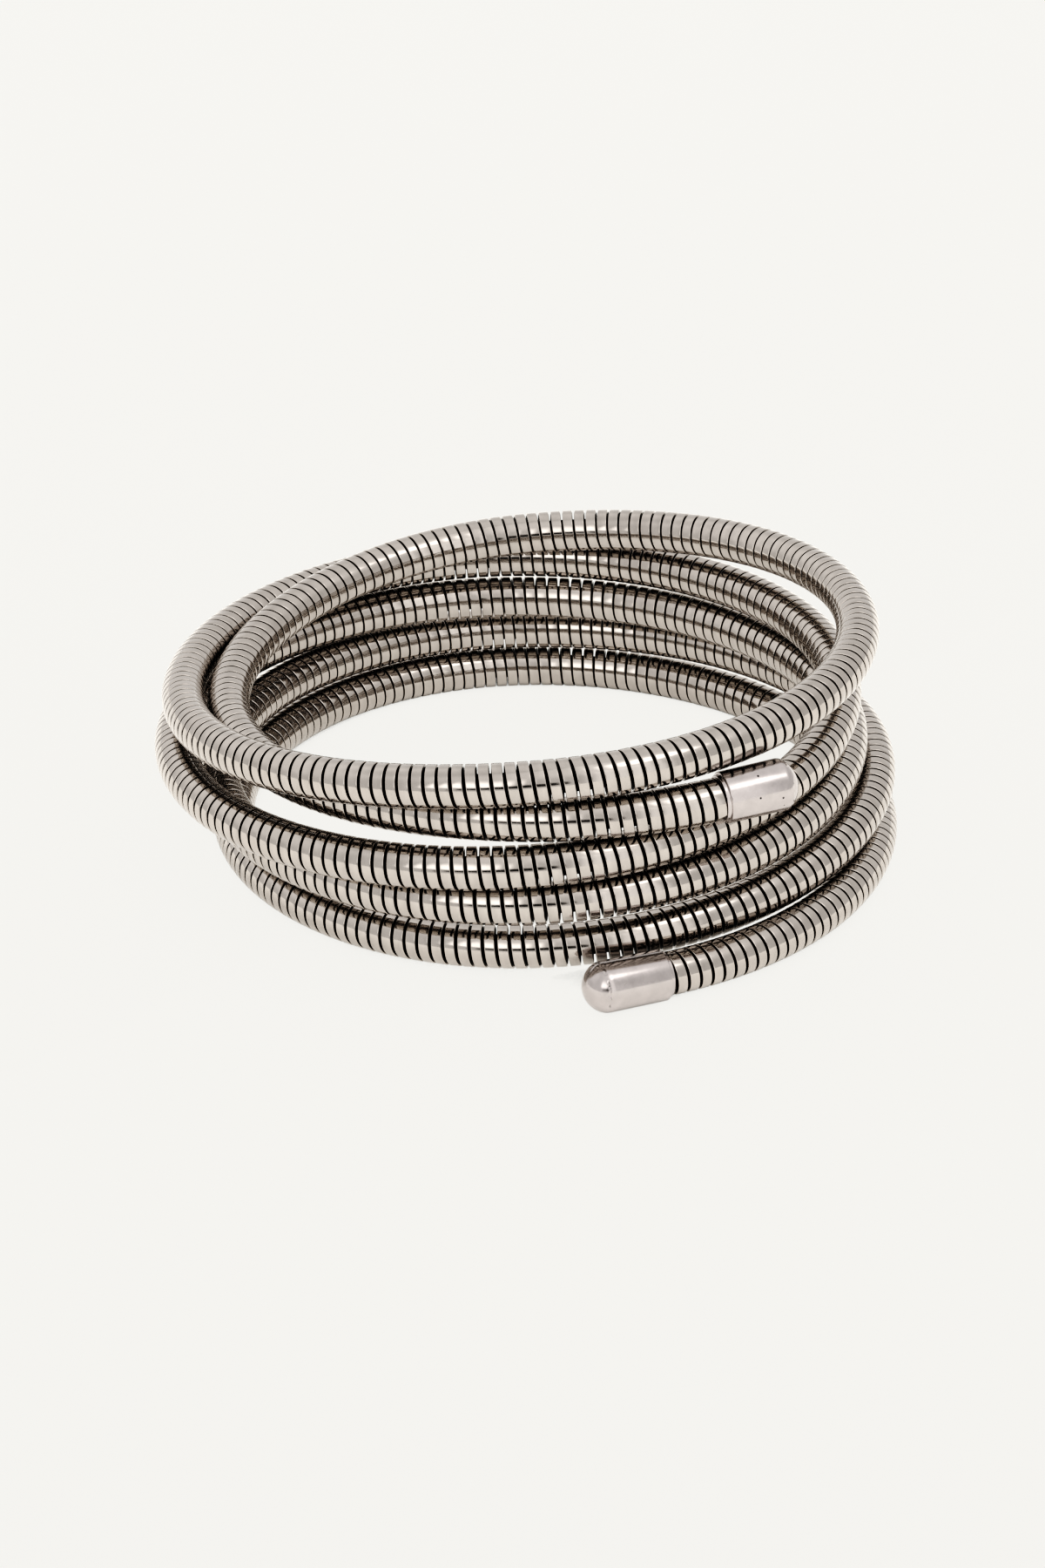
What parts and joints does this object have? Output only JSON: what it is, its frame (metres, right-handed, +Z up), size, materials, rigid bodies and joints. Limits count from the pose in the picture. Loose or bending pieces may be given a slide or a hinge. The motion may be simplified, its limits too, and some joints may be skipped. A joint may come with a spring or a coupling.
{
  "type": "spiral coil bracelet",
  "caption": "Spiral coil bracelet: a flexible strip-wound metal tube coiled in overlapping turns round an open wrist space, with a domed cap at each end.",
  "frame": {"origin": "on the surface that the coil rests on, under the middle of the whole bracelet", "axes": "+Z up along the coil's axis, through the wrist opening; -Y towards the side where both ends lie"},
  "size_m": [0.07, 0.0714, 0.0243],
  "materials": {
    "wound_strip": "polished steel strip, warm grey, flat bands with rounded edges and a dark groove between windings",
    "cap_metal": "polished metal with fine wear marks and a soldered collar"
  },
  "bodies": {
    "root": {"coil_tube": "wound_strip", "cap_upper": "cap_metal", "cap_lower": "cap_metal"}
  },
  "joints": []
}
